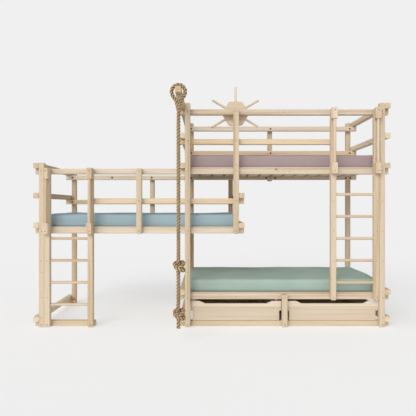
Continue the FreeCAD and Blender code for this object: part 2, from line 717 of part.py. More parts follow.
def make_rope():
    """A climbing rope whose eye rests on the crane beam's two upper edges."""
    middle = FreeCAD.Vector(column_left(TOWER_FIRST) - BEAM / 2, FRONT - CRANE_REACH + ROPE_FROM_TIP, 0)
    eye_radius = (EYE_WIDTH - ROPE) / 2
    seat = eye_radius - ROPE / 2 - EYE_SEAT_PLAY
    over_bevel = math.sqrt(seat ** 2 - (BEAM / 2 - EDGE_BEVEL) ** 2)
    beside_bevel = math.sqrt(seat ** 2 - (BEAM / 2) ** 2) + EDGE_BEVEL
    centre = TOWER_TOP - min(over_bevel, beside_bevel)
    arcs_apart = math.hypot(EYE_BEND + eye_radius, EYE_STRAIGHT)
    throat = centre - math.sqrt(arcs_apart ** 2 - (EYE_BEND + ROPE / 2) ** 2)
    path = eye_path(middle, centre, throat, eye_radius)
    foot = path.Vertexes[0].Point
    corners = rope_ring(foot, ROPE / 2)
    ring = Part.makePolygon(corners + corners[:1])
    eye = path.makePipeShell([ring], True, False)
    ideal = Part.Face(ring).Area * path.Length
    print("rope eye: arc radii", EYE_BEND, eye_radius, "volume ratio", round(eye.Volume / ideal, 4))
    print("rope eye: turns about", [round(middle.x, 3), round(middle.y, 3), round(centre, 3)])
    add("climbing_rope", eye)

    # The splice takes both legs in at its top and ends in the single rope.
    splice_end = throat - SPLICE_LENGTH
    wide = splice_ring(middle, throat, ROPE / 2)
    narrow = splice_ring(middle, splice_end, SPLICE_SPREAD_END)
    add("climbing_rope", faceted([wide, narrow]))
    knot_half = KNOT_HEIGHT / 2
    add("climbing_rope", rope_stretch(middle, splice_end, KNOT_HIGH + knot_half))
    add("climbing_rope", rope_stretch(middle, KNOT_HIGH - knot_half, KNOT_LOW + knot_half))
    add("climbing_rope", rope_stretch(middle, KNOT_LOW - knot_half, ROPE_TAIL))
    add("rope_knots", knot(middle, KNOT_HIGH), knot(middle, KNOT_LOW))


make_posts()
make_rails()
make_cross_beams()
slatted_base("low_bed", column_left(TOWER_FIRST), LOW_BED)
slatted_base("high_bed", column_left(TOWER_FIRST), HIGH_BED)
slatted_base("side_bed", column_left(SIDE_FIRST), SIDE_BED)
make_ladders()
make_bolts()
make_drawers()
make_wheel()
make_rope()

os.makedirs("parts", exist_ok=True)
for name, solids in nodes.items():
    shape = solids[0] if len(solids) == 1 else Part.makeCompound(solids)
    shape.exportStep("parts/" + name + ".step")
print(len(nodes), "nodes,", sum(len(solids) for solids in nodes.values()), "solids")
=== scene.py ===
"""Looks of a triple bunk bed of square pine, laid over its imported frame. All lengths are metres."""

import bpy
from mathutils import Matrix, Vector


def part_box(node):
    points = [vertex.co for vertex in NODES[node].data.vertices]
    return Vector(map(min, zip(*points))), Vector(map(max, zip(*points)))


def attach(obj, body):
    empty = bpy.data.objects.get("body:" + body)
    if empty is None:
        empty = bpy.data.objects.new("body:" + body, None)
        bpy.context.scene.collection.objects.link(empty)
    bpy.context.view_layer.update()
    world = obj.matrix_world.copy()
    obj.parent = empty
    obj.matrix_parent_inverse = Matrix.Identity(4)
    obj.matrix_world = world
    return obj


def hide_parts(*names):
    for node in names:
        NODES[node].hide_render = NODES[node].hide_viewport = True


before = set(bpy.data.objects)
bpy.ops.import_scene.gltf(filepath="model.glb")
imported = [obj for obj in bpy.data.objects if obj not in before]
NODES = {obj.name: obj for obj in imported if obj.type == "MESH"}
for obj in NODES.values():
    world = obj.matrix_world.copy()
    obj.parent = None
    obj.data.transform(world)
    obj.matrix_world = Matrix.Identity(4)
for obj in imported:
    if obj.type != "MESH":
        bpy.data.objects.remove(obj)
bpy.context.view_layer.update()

import math

import bmesh
import bpy
import numpy as np
from mathutils import Vector, noise

SCENE = bpy.context.scene
TURN = 2 * math.pi
WHITE = (1.0, 1.0, 1.0, 1.0)

# Places that the looks share with the frame
BEAM = 0.055
COLUMN_PITCH = 0.49125
FRONT = -0.25675
FRONT_RAIL = FRONT + BEAM
ROPE_X = -0.300625
ROPE_Y = -0.82675
CRANE_END = (ROPE_X, -0.88675, 2.2395)
WHEEL_HUB = (COLUMN_PITCH / 2, 0.0, 2.1845)
TOWER_MIDDLE = (0.737, 0.247, 0.0)
TOWER_HALF = (1.010, 0.500)


def column(index):
    """The middle of a post column, counted from the tower's left posts."""
    return (index - 0.5) * COLUMN_PITCH


# Camera and light

LENS = 38.45
SENSOR = 36.0
PICTURE = 416
SHIFT = (0.5, -1.5)  # in pixels of the picture
CAMERA_AT = (-0.0448, -4.73575, 1.220)
VIEW_END = 200.0

BACKDROP = 0.871
OVERHEAD = 0.26
CEILING_FADE = (0.43, 0.68)
LAMP_COLOUR = (1.0, 0.985, 0.96)
# Each lamp's strength, its width in degrees and where it aims
LAMPS = {
    "soft_key": (1.78, 36, (0.30, 0.80, -0.52)),
    "left_fill": (1.00, 60, (0.85, 0.42, -0.32)),
    "right_fill": (0.22, 70, (-0.80, 0.55, -0.22)),
}
RANGE_SOCKETS = ("From Min", "From Max", "To Min", "To Max")


def make_camera():
    """The photo's view, level and straight from the front."""
    data = bpy.data.cameras.new("camera")
    data.lens = LENS
    data.sensor_width = SENSOR
    data.shift_x = SHIFT[0] / PICTURE
    data.shift_y = SHIFT[1] / PICTURE
    data.clip_end = VIEW_END
    camera = bpy.data.objects.new("camera", data)
    camera.location = CAMERA_AT
    camera.rotation_euler = (math.radians(90), 0, 0)
    SCENE.collection.objects.link(camera)
    SCENE.camera = camera


def make_light():
    """A bright band round the horizon, a darker ceiling, a soft key and two wide fills."""
    world = bpy.data.worlds.new("studio")
    world.use_nodes = True
    tree = world.node_tree
    direction = tree.nodes.new("ShaderNodeTexCoord")
    split = tree.nodes.new("ShaderNodeSeparateXYZ")
    fade = tree.nodes.new("ShaderNodeMapRange")
    fade.interpolation_type = "SMOOTHSTEP"
    for key, number in zip(RANGE_SOCKETS, (*CEILING_FADE, BACKDROP, OVERHEAD)):
        fade.inputs[key].default_value = number
    background = tree.nodes["Background"]
    background.inputs["Color"].default_value = WHITE
    tree.links.new(direction.outputs["Generated"], split.inputs[0])
    tree.links.new(split.outputs["Z"], fade.inputs["Value"])
    tree.links.new(fade.outputs[0], background.inputs["Strength"])
    SCENE.world = world
    for name, (strength, width, aim) in LAMPS.items():
        data = bpy.data.lights.new(name, "SUN")
        data.energy = strength
        data.angle = math.radians(width)
        data.color = LAMP_COLOUR
        lamp = bpy.data.objects.new(name, data)
        lamp.rotation_euler = Vector(aim).to_track_quat("-Z", "Y").to_euler()
        SCENE.collection.objects.link(lamp)
    SCENE.view_settings.view_transform = "Standard"
    SCENE.view_settings.look = "None"


# Materials

# Sockets of a colour mix: factor, first and second, and its result
MIX_INPUTS = (0, 6, 7)
MIX_RESULT = 2


class Look:
    """A material's node tree, with short ways to add and join its nodes."""

    def __init__(self, name):
        self.material = bpy.data.materials.new(name)
        self.material.use_nodes = True
        self.tree = self.material.node_tree
        self.shader = self.tree.nodes["Principled BSDF"]

    def put(self, socket, value):
        if isinstance(value, bpy.types.NodeSocket):
            self.tree.links.new(value, socket)
        else:
            socket.default_value = value

    def add(self, kind, settings=None, **inputs):
        made = self.tree.nodes.new("ShaderNode" + kind)
        for key, value in (settings or {}).items():
            setattr(made, key, value)
        for key, value in inputs.items():
            self.put(made.inputs[key], value)
        return made

    def place(self):
        return self.add("TexCoord").outputs["Object"]

    def math(self, operation, first, second=0.0):
        made = self.add("Math", {"operation": operation})
        self.put(made.inputs[0], first)
        self.put(made.inputs[1], second)
        return made.outputs[0]

    def blend(self, share, first, second):
        """A share of one value and the rest of another."""
        return self.math("ADD", self.math("MULTIPLY", first, share),
                         self.math("MULTIPLY", second, 1.0 - share))

    def vector(self, operation, first, second):
        made = self.add("VectorMath", {"operation": operation})
        self.put(made.inputs[0], first)
        self.put(made.inputs[1], second)
        return made.outputs["Value" if operation == "DOT_PRODUCT" else "Vector"]

    def parts(self, vector):
        return self.add("SeparateXYZ", Vector=vector).outputs

    def noise(self, place, scale, detail=2.0, distortion=0.0):
        made = self.add("TexNoise", Vector=place, Scale=scale, Detail=detail,
                        Distortion=distortion)
        return made.outputs[0]

    def spread(self, value, low, high, to_low, to_high):
        """The value's range, mapped to another and clamped."""
        made = self.add("MapRange", {"interpolation_type": "SMOOTHSTEP"}, Value=value)
        for key, number in zip(RANGE_SOCKETS, (low, high, to_low, to_high)):
            made.inputs[key].default_value = number
        return made.outputs[0]

    def ramp(self, factor, *stops):
        made = self.add("ValToRGB", Fac=factor)
        elements = made.color_ramp.elements
        while len(elements) < len(stops):
            elements.new(1.0)
        for element, (at, colour) in zip(elements, stops):
            element.position = at
            element.color = (*colour, 1.0)
        return made.outputs["Color"]

    def mix(self, factor, first, second):
        made = self.add("Mix", {"data_type": "RGBA"})
        for index, value in zip(MIX_INPUTS, (factor, first, second)):
            self.put(made.inputs[index], (*value, 1.0) if isinstance(value, tuple) else value)
        return made.outputs[MIX_RESULT]

    def bump(self, height, strength, distance):
        made = self.add("Bump", Height=height, Strength=strength, Distance=distance)
        self.put(self.shader.inputs["Normal"], made.outputs["Normal"])

    def finish(self, colour, roughness, **constants):
        self.put(self.shader.inputs["Base Color"], colour)
        self.put(self.shader.inputs["Roughness"], roughness)
        for key, value in constants.items():
            self.put(self.shader.inputs[key.replace("_", " ")], value)
        return self.material


# Sizes and starts of the cells that tell one timber from the next, by the way the grain runs
PIECE_CELL = ((50.0, 1.0, 0.303), (0.15, 50.0, 0.303), (COLUMN_PITCH / 3, 1.0, 50.0))
PIECE_START = (
    (25.0, 0.5, 0.1),
    (0.238125, 25.0, 0.1),
    (COLUMN_PITCH / 6 - COLUMN_PITCH / 2, 0.5, 25.0),
)
PIECE_APART = (9.0, 9.0, 9.0)
# How fast each thing in the wood varies across and along the grain
WANDER = (6.5, 0.85)
STREAK = (46.0, 0.9)
FIBRE = (900.0, 16.0)
KNOT_CELL = (8.2, 5.4)
KNOT_FREE = 0.975  # the share of the cells that hold no knot
RING_WIDTH = 0.0052
RING_WANDER = 60.0
RING_SLOPE = 0.7
RING_SHOW = 0.34
FIBRE_SHOW = 0.12
TONE_SPAN = 0.10
OWN_VALUE = (1.04, 0.96)
PALE = (0.735, 0.635, 0.495)
STRAW = (0.665, 0.545, 0.400)
AMBER = (0.575, 0.405, 0.240)
LATE_WOOD = (0.530, 0.375, 0.225)
KNOT = (0.235, 0.125, 0.058)
KNOT_RIM = (0.430, 0.270, 0.130)


def about_hub(look, place, hub):
    """A place as its distance from the hub, its turn about it and its depth."""
    across, deep, up = look.parts(look.vector("SUBTRACT", place, hub))
    squares = look.math("ADD", look.math("POWER", across, 2.0), look.math("POWER", up, 2.0))
    reach = look.math("POWER", squares, 0.5)
    turn = look.math("MULTIPLY", look.math("ARCTAN2", up, across), 0.2)
    return look.add("CombineXYZ", X=reach, Y=turn, Z=deep).outputs[0]


def pine(name, axis, seed, amber, value, saturation, painted_gap_shade=1.0, figure=1.0, hub=None):
    """Oiled pine with grain along an axis, or out from a hub, and its own tone for each timber.

    A shade factor below one darkens the faces that look along X, a painted shade in the gaps between
    slats, and figure is how strongly the grain shows."""
    look = Look(name)
    place = look.place()
    if hub:
        place = about_hub(look, place, hub)
    cell = look.vector("SNAP", look.vector("ADD", place, PIECE_START[axis]), PIECE_CELL[axis])
    dice = look.add("TexWhiteNoise",
                    Vector=look.vector("ADD", cell, (seed, seed * 0.7, seed * 0.3)))
    own = look.vector("ADD", place, look.vector("MULTIPLY", dice.outputs["Color"], PIECE_APART))

    def stretched(across, along):
        factors = [across] * 3
        factors[axis] = along
        return look.vector("MULTIPLY", own, factors)

    wander = look.noise(stretched(*WANDER), 1.0, 1.0)
    streak = look.noise(stretched(*STREAK), 1.0, 3.0, 0.3)
    fibre = look.noise(stretched(*FIBRE), 1.0, 2.0)
    knots = look.add("TexVoronoi", Vector=stretched(*KNOT_CELL), Scale=1.0)
    empty = look.math("LESS_THAN", look.parts(knots.outputs["Color"])[0], KNOT_FREE)
    away = look.math("ADD", knots.outputs["Distance"], empty)
    slope = [RING_SLOPE] * 3
    slope[axis] = 0.0
    slope[2 if axis < 2 else 1] = 1.0
    depth = look.math("MULTIPLY", look.vector("DOT_PRODUCT", own, slope), TURN / RING_WIDTH)
    depth = look.math("ADD", depth, look.math("MULTIPLY", wander, RING_WANDER))
    depth = look.math("ADD", depth, look.spread(away, 0.0, 0.34, 9.0, 0.0))
    rings = look.spread(look.math("SINE", depth), -0.2, 1.0, 0.0, 1.0)

    plain = 0.5 * (1.0 - figure)
    own_tone = look.spread(dice.outputs["Value"], 0.0, 1.0, plain - TONE_SPAN, plain + TONE_SPAN)
    tone = look.math("ADD", look.math("MULTIPLY", streak, figure), own_tone)
    threads = look.math("MULTIPLY", look.spread(fibre, 0.35, 0.8, 0.0, 1.0), FIBRE_SHOW)
    colour = look.ramp(tone, (0.32, PALE), (0.52, STRAW), (0.58 + 0.25 * (1 - amber), AMBER))
    colour = look.mix(look.math("MULTIPLY", rings, RING_SHOW * figure), colour, LATE_WOOD)
    colour = look.mix(threads, colour, AMBER)
    colour = look.mix(look.spread(away, 0.06, 0.13, 0.8, 0.0), colour, KNOT_RIM)
    colour = look.mix(look.spread(away, 0.03, 0.075, 0.9, 0.0), colour, KNOT)
    swing = look.spread(dice.outputs["Value"], 0.0, 1.0, *(part * value for part in OWN_VALUE))
    # Painted shade: faces that look along X, the sides of the slats, are darkened so the gaps between
    # slats read dark.
    if painted_gap_shade < 1.0:
        facing = look.math("ABSOLUTE", look.parts(look.add("NewGeometry").outputs["Normal"])[0])
        swing = look.math("MULTIPLY", swing, look.spread(facing, 0.6, 0.9, 1.0, painted_gap_shade))
    shade = look.add("HueSaturation", Color=colour, Saturation=saturation, Value=swing)
    look.bump(look.math("ADD", look.math("MULTIPLY", rings, 0.5), fibre), 0.22, 0.0006)
    roughness = look.spread(streak, 0.3, 0.75, 0.78, 0.64)
    return look.finish(shade.outputs["Color"], roughness, Specular_IOR_Level=0.1)


THREAD_PITCH = 0.0016


def woven(name, colour):
    """A plain-woven cotton cover."""
    look = Look(name)
    place = look.place()
    light = tuple(min(1.0, part * 1.07) for part in colour)
    dark = tuple(part * 0.90 for part in colour)
    cloud = look.noise(place, 3.2, 2.0)
    slub = look.noise(look.vector("MULTIPLY", place, (60.0, 420.0, 420.0)), 1.0, 2.0)
    tint = look.ramp(look.blend(0.6, cloud, slub), (0.34, dark), (0.52, colour), (0.72, light))
    threads = []
    for direction in ((1.0, 0.0, 0.0), (0.0, 1.0, 0.83)):
        along = look.vector("DOT_PRODUCT", place, direction)
        threads.append(look.math("SINE", look.math("MULTIPLY", along, TURN / THREAD_PITCH)))
    weave = look.math("MULTIPLY", *threads)
    tint = look.mix(look.spread(weave, -1.0, 1.0, 0.16, 0.0), tint, dark)
    look.bump(look.math("ADD", look.math("MULTIPLY", weave, 0.4), slub), 0.25, 0.0007)
    roughness = look.spread(cloud, 0.3, 0.7, 0.92, 0.8)
    return look.finish(tint, roughness, Specular_IOR_Level=0.03)


YARN_PITCH = 0.0048
YARN_LEAN = 0.045


def hemp(name, light, mid, dark):
    """Twisted natural fibre. The mesh carries metres along the strand and turns round it."""
    look = Look(name)
    lengths = look.add("UVMap", {"uv_map": "strand"}).outputs["UV"]
    lean = look.vector("DOT_PRODUCT", lengths, (1.0, YARN_LEAN, 0.0))
    yarns = look.math("SINE", look.math("MULTIPLY", lean, TURN / YARN_PITCH))
    outward = look.math("COSINE", look.math("MULTIPLY", look.parts(lengths)[1], TURN))
    hair = look.noise(look.vector("MULTIPLY", lengths, (240.0, 26.0, 1.0)), 1.0, 3.0, 0.6)
    cloud = look.noise(look.place(), 14.0, 2.0)
    tone = look.blend(0.75, hair, cloud)
    colour = look.ramp(tone, (0.30, dark), (0.50, mid), (0.68, light))
    colour = look.mix(look.spread(yarns, -1.0, 0.2, 0.3, 0.0), colour, dark)
    # Painted shade: each strand's inner side, in the grooves between strands, is darkened.
    colour = look.mix(look.spread(outward, 0.12, 0.88, 1.0, 0.0), colour, dark)
    look.bump(look.math("ADD", yarns, look.math("MULTIPLY", hair, 1.5)), 0.5, 0.0009)
    roughness = look.spread(hair, 0.3, 0.7, 0.95, 0.8)
    return look.finish(colour, roughness, Specular_IOR_Level=0.08)


def zinc(name):
    """Zinc-plated steel with a brushed bloom."""
    look = Look(name)
    place = look.place()
    brushed = look.noise(look.vector("MULTIPLY", place, (260.0, 40.0, 1400.0)), 1.0, 2.0)
    bloom = look.noise(place, 90.0, 3.0)
    colour = look.ramp(look.blend(0.4, brushed, bloom),
                       (0.32, (0.25, 0.20, 0.15)), (0.68, (0.43, 0.37, 0.29)))
    look.bump(brushed, 0.12, 0.0003)
    return look.finish(colour, look.spread(bloom, 0.3, 0.7, 0.5, 0.34), Metallic=1.0)


def satin(name, colour):
    """Moulded plastic, a little mottled; it also makes the spare holes' dark, a painted shade."""
    look = Look(name)
    place = look.place()
    mottle = look.noise(place, 120.0, 3.0)
    dark = tuple(part * 0.75 for part in colour)
    tint = look.ramp(mottle, (0.35, dark), (0.65, colour))
    look.bump(look.noise(place, 1600.0, 1.0), 0.08, 0.0002)
    roughness = look.spread(mottle, 0.3, 0.7, 0.48, 0.36)
    return look.finish(tint, roughness, Specular_IOR_Level=0.25)


# The floor's glow is painted light that lightens its shadows; where it is dimmed under the tower, it
# is a painted shadow.
PAINTED_GLOW_AND_SHADOW = (0.417, 0.02)  # in the open and under the tower
PAINTED_SHADOW_FADE = 0.28


def paper(name):
    """The studio floor, with a painted glow that lightens the shadows on it, dimmed under the tower
    as a painted shadow.
    """
    look = Look(name)
    place = look.place()
    cloud = look.noise(place, 0.35, 2.0)
    # Painted shadow: the glow fades out over the tower's footprint.
    across, deep, _ = look.parts(look.vector("SUBTRACT", place, TOWER_MIDDLE))
    shade = [look.spread(look.math("ABSOLUTE", off), half - PAINTED_SHADOW_FADE, half, 1.0, 0.0)
             for off, half in zip((across, deep), TOWER_HALF)]
    painted_glow = look.spread(look.math("MULTIPLY", *shade), 0.0, 1.0, *PAINTED_GLOW_AND_SHADOW)
    colour = look.ramp(cloud, (0.3, (0.518, 0.522, 0.530)), (0.7, (0.526, 0.530, 0.538)))
    return look.finish(colour, look.spread(cloud, 0.3, 0.7, 0.9, 0.8), Specular_IOR_Level=0.0,
                       Emission_Color=WHITE, Emission_Strength=painted_glow)


# Timber

# Which nodes each pine goes on. A pine has a name, the grain's axis, a seed, amber, value and
# saturation, and some have a painted shade on faces that look along X, and figure.
PINES = {
    ("pine_rails", 0, 3.0, 0.45, 0.865, 0.87): (
        "low_bed_rails", "high_bed_rails", "high_guard_rails_top", "side_bed_rails",
        "side_guard_rails_top", "mattress_strips",
    ),
    ("pine_floor_rails", 0, 3.0, 0.45, 0.775, 1.22): ("floor_rails", "side_floor_rails"),
    ("pine_side_guard", 0, 19.0, 0.70, 0.86, 1.23): ("side_guard_rails_middle",),
    ("pine_high_guard", 0, 3.0, 0.70, 0.86, 1.23): ("high_guard_rails_middle",),
    ("pine_plate", 0, 41.0, 0.45, 0.88, 1.02): ("wheel_plate",),
    ("pine_strips", 0, 11.0, 0.35, 0.88, 0.98): (
        "slat_cleats", "side_ladder_rungs", "tower_ladder_rungs",
    ),
    ("pine_beams", 1, 5.0, 0.45, 0.87, 1.0): (
        "tower_cross_beams_left", "tower_cross_beams_right", "side_cross_beams_left",
        "side_cross_beams_right", "crane_beam", "wheel_spacer",
    ),
    # The slats' 0.3 is painted shade on their sides, to darken the gaps between them.
    ("pine_slats", 1, 7.0, 0.40, 0.80, 1.05, 0.3): (
        "low_bed_slats", "high_bed_slats", "side_bed_slats", "drawer_runners",
    ),
    ("pine_posts", 2, 2.0, 0.60, 0.77, 1.06): (
        "tower_post_front_left", "tower_post_back_left", "tower_post_front_right",
        "tower_post_back_right", "hanging_post_front", "hanging_post_back", "guard_post_back",
        "centre_feet", "side_post_front", "side_post_back", "side_guard_posts",
    ),
    ("pine_stiles", 2, 17.0, 0.60, 0.81, 1.04): ("side_ladder_stiles", "tower_ladder_stiles"),
    ("pine_blocks", 2, 23.0, 0.25, 0.90, 0.96): ("handle_blocks", "handle_bars"),
    ("pine_fronts", 0, 29.0, 0.25, 0.865, 0.85, 1.0, 0.6): (
        "drawer_left_front", "drawer_right_front", "drawer_left_back", "drawer_right_back",
    ),
    ("pine_sides", 1, 31.0, 0.30, 0.86, 1.0): (
        "drawer_left_sides", "drawer_right_sides", "drawer_left_bottom", "drawer_right_bottom",
    ),
}
EDGE_ROUND = 0.0018
OTHER_EDGES = {"mattress_strips": 0.0012, "wheel_spokes": 0.003, "handle_bars": 0.002}
EDGE_SEGMENTS = 2
EDGE_ANGLE = math.radians(24)
WELD_REACH = 0.00005


def dress(node, material):
    slots = NODES[node].data.materials
    slots.clear()
    slots.append(material)


def weld(node):
    """Joins the corners of neighbouring faces, which the frame's mesh keeps apart."""
    NODES[node].modifiers.new("weld", "WELD").merge_threshold = WELD_REACH


def round_edges(node):
    """Rounds a timber's edges with modifiers, so the frame's own mesh stays as it is."""
    weld(node)
    bevel = NODES[node].modifiers.new("edges", "BEVEL")
    bevel.width = OTHER_EDGES.get(node, EDGE_ROUND)
    bevel.segments = EDGE_SEGMENTS
    bevel.limit_method = "ANGLE"
    bevel.angle_limit = EDGE_ANGLE
    NODES[node].modifiers.new("normals", "WEIGHTED_NORMAL")


def dress_timber():
    for settings, names in PINES.items():
        material = pine(*settings)
        for node in names:
            dress(node, material)
            round_edges(node)
    dress("wheel_spokes", pine("pine_spokes", 0, 37.0, 0.3, 0.86, 1.0, hub=WHEEL_HUB))
    round_edges("wheel_spokes")


# Fittings

CAP_BROWN = (0.19, 0.052, 0.015)
# The spare holes' dark brown is painted shade.
HOLE_SHADOW_BROWN = (0.33, 0.25, 0.16)
DOME_LEVELS = 2
# How far each node's heads are swollen once they are round
DOME_SWELL = {"bolt_heads": 0.0004, "bolt_caps": 0.0022, "cleat_screws": 0.0004}


def dome(node, swell):
    """Rounds six-sided heads into domes, swollen to make up for what the rounding takes."""
    weld(node)
    smooth = NODES[node].modifiers.new("dome", "SUBSURF")
    smooth.levels = DOME_LEVELS
    smooth.render_levels = DOME_LEVELS
    grow = NODES[node].modifiers.new("swell", "DISPLACE")
    grow.strength = swell
    grow.mid_level = 0.0


def dress_fittings():
    steel = zinc("zinc_plate")
    cap = satin("brown_cap", CAP_BROWN)
    dress("bolt_heads", steel)
    dress("wheel_screw", steel)
    dress("bolt_caps", cap)
    dress("cleat_screws", cap)
    for node, swell in DOME_SWELL.items():
        dome(node, swell)


def piece(name, points, faces, material, body):
    """A mesh piece that rides on a body."""
    mesh = bpy.data.meshes.new(name)
    mesh.from_pydata([tuple(point) for point in points], [], [tuple(face) for face in faces])
    mesh.materials.append(material)
    made = bpy.data.objects.new(name, mesh)
    SCENE.collection.objects.link(made)
    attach(made, body)
    return made


def smooth_faces(made):
    made.data.polygons.foreach_set("use_smooth", [True] * len(made.data.polygons))


def lathe(profile, at, sides):
    """Rings of (radius, lift) pairs on a face that looks to the front, closed at the last ring."""
    x, y, z = at
    points = []
    faces = []
    for radius, lift in profile:
        for k in range(sides):
            turn = TURN * k / sides
            points.append((x + radius * math.cos(turn), y - lift, z + radius * math.sin(turn)))
    for ring in range(len(profile) - 1):
        for k in range(sides):
            after = (k + 1) % sides
            low = ring * sides
            faces.append((low + k, low + after, low + sides + after, low + sides + k))
    faces.append(tuple(range(len(points) - sides, len(points))))
    return points, faces


def scatter(name, profile, places, sides, material):
    """One piece that holds a copy of a lathed form at each place."""
    points = []
    faces = []
    for at in places:
        more, rings = lathe(profile, at, sides)
        faces.extend(tuple(len(points) + index for index in ring) for ring in rings)
        points.extend(more)
    smooth_faces(piece(name, points, faces, material, "frame"))


# Spare holes in the posts' and rails' front faces: the heights at each column and face
POST_HOLES = {
    (column(-3), FRONT): (0.096, 0.3005, 0.356, 0.557, 0.6695),
    (column(-3) + BEAM, FRONT): (0.3005, 0.6695),
    (column(-2), FRONT): (0.3005, 0.6695),
    (column(0), FRONT): (0.096, 0.356, 0.557, 0.6695),
    (column(1), FRONT): (1.638,),
    (column(3), FRONT): (0.6695, 0.9725, 1.2755),
    (column(4) - BEAM, FRONT): (0.6695, 0.9725, 1.2755),
    (column(4), FRONT): (0.096, 0.356, 0.6695, 0.9725, 1.2755),
    (column(2), FRONT_RAIL): (1.5785, 1.8815, 2.1845),
    (column(2) - BEAM, FRONT_RAIL): (0.3005, 1.5785, 2.1845),
    (column(2) + BEAM, FRONT_RAIL): (0.3005, 1.5785, 2.1845),
    (column(1), FRONT_RAIL): (0.3005,),
}
# Brown caps on the inner faces at the back: (height, face, places along X)
BACK_CAPS = (
    (1.5785, 0.77325, (column(-3), column(-2), column(-1))),
    (1.571, 0.75125, (column(0), column(2) - BEAM, column(2) + BEAM, column(4) - BEAM, column(4))),
)
# Their forms and that of the crane bolt's end: (radius, lift) pairs, and the sides of a ring
HOLE_FORM = ((0.0052, 0.0), (0.0046, 0.0003), (0.0034, 0.0001))
HOLE_SIDES = 12
BOLT_END_FORM = (
    (0.0075, 0.0), (0.0072, 0.0007), (0.0056, 0.0011), (0.0042, 0.0005), (0.0012, 0.0005),
)
BOLT_END_SIDES = 14
CAP_FORM = (
    (0.0125, 0.0), (0.0121, 0.0014), (0.0098, 0.0031), (0.0054, 0.0040), (0.0016, 0.0043),
)
CAP_SIDES = 16


def make_fittings():
    # The spare holes are dark discs on the faces: painted shade in place of their depth.
    dark = satin("hole_shadow", HOLE_SHADOW_BROWN)
    steel = NODES["bolt_heads"].data.materials[0]
    brown = NODES["bolt_caps"].data.materials[0]
    holes = [(x, face, z) for (x, face), heights in POST_HOLES.items() for z in heights]
    caps = [(x, face, z) for z, face, places in BACK_CAPS for x in places]
    scatter("spare_holes", HOLE_FORM, holes, HOLE_SIDES, dark)
    scatter("crane_bolt_end", BOLT_END_FORM, [CRANE_END], BOLT_END_SIDES, steel)
    scatter("back_caps", CAP_FORM, caps, CAP_SIDES, brown)


# Mattress covers

# Each bed's slot, colour and seed, and its cover's droop, sag and slump
COVERS = {
    "low_bed": ("sage_cover", (0.345, 0.441, 0.394), 1.7, 0.004, 0.0, 0.013),
    "high_bed": ("mauve_cover", (0.340, 0.268, 0.273), 5.2, 0.0, 0.0, 0.0),
    "side_bed": ("blue_cover", (0.300, 0.398, 0.442), 9.4, 0.018, 0.010, 0.0),
}
# Near black on the covers' undersides: painted shade, so the gaps between the slats below read dark.
PAINTED_SHADE_UNDERSIDE = (0.016, 0.013, 0.011)
FACING_DOWN = -0.9
COVER_SHRINK = (0.004, 0.005, -0.002)
COVER_ROUND = 0.030
COVER_STEP = 0.024
EDGE_PARTS = (0.0, 0.35, 0.7)
SAME_POINT = 1e-6
TINY = 1e-9
# Heights of the hills on top and of the waves in the sides, and how fast they vary
HILL = 0.006
HILL_RATE = (2.6, 3.1)
WAVE = 0.0034
WAVE_RATE = (1.6, 24.0)
# How far from the left end the sag sets in and the droop ends, and the slump's share of the width
SAG_REACH = 0.20
DROOP_REACH = 0.10
SLUMP_SHARE = 0.4
COVER_SWELL = 0.005
COVER_FRAMES = 16
HELD_HEIGHT = 0.004
CLOTH = {
    "quality": 5, "mass": 0.25, "tension_stiffness": 30.0, "compression_stiffness": 18.0,
    "shear_stiffness": 12.0, "bending_stiffness": 1.2, "shrink_min": -0.006,
    "use_pressure": True, "uniform_pressure_force": 2.2,
}


def rounded_box(name, low, high, radius, step):
    """A closed box of quads with rounded edges, closer set near them."""
    lines = []
    for axis in range(3):
        near = [low[axis] + radius * part for part in EDGE_PARTS]
        inner = np.linspace(low[axis] + radius, high[axis] - radius,
                            max(3, round((high[axis] - low[axis] - 2 * radius) / step) + 1))
        far = [high[axis] - radius * part for part in reversed(EDGE_PARTS)]
        lines.append([*near, *inner, *far])
    shell = bmesh.new()
    for axis in range(3):
        first, second = (axis + 1) % 3, (axis + 2) % 3
        for side in (low, high):
            grid = []
            for u in lines[first]:
                row = []
                for v in lines[second]:
                    point = [0.0, 0.0, 0.0]
                    point[axis], point[first], point[second] = side[axis], u, v
                    row.append(shell.verts.new(point))
                grid.append(row)
            for row, following in zip(grid, grid[1:]):
                for k in range(len(row) - 1):
                    shell.faces.new((row[k], following[k], following[k + 1], row[k + 1]))
    bmesh.ops.remove_doubles(shell, verts=shell.verts, dist=SAME_POINT)
    for vertex in shell.verts:
        inner = Vector(min(max(vertex.co[k], low[k] + radius), high[k] - radius) for k in range(3))
        out = vertex.co - inner
        if out.length > TINY:
            vertex.co = inner + out.normalized() * radius
    bmesh.ops.recalc_face_normals(shell, faces=shell.faces)
    mesh = bpy.data.meshes.new(name)
    shell.to_mesh(mesh)
    shell.free()
    made = bpy.data.objects.new(name, mesh)
    SCENE.collection.objects.link(made)
    return made


def ripple(made, low, high, seed, droop, sag, slump):
    """Gentle hills and hollows in the upper side, and waves in the front and back.

    The top lies lower by sag away from its left end, by droop at that end and by slump in front."""
    for vertex in made.data.vertices:
        share = (vertex.co.z - low[2]) / (high[2] - low[2])
        to_end = vertex.co.x - low[0]
        to_front = (vertex.co.y - low[1]) / (high[1] - low[1])
        fall = sag * min(1.0, to_end / SAG_REACH)
        fall += droop * max(0.0, 1.0 - to_end / DROOP_REACH) ** 2
        fall += slump * max(0.0, 1.0 - to_front / SLUMP_SHARE) ** 2
        hill = Vector((vertex.co.x * HILL_RATE[0] + seed, vertex.co.y * HILL_RATE[1], seed * 0.37))
        vertex.co.z += share * (HILL * noise.noise(hill) - fall)
        wave = Vector((vertex.co.x * WAVE_RATE[0], vertex.co.z * WAVE_RATE[1] + seed, seed))
        vertex.co.y += WAVE * noise.noise(wave)


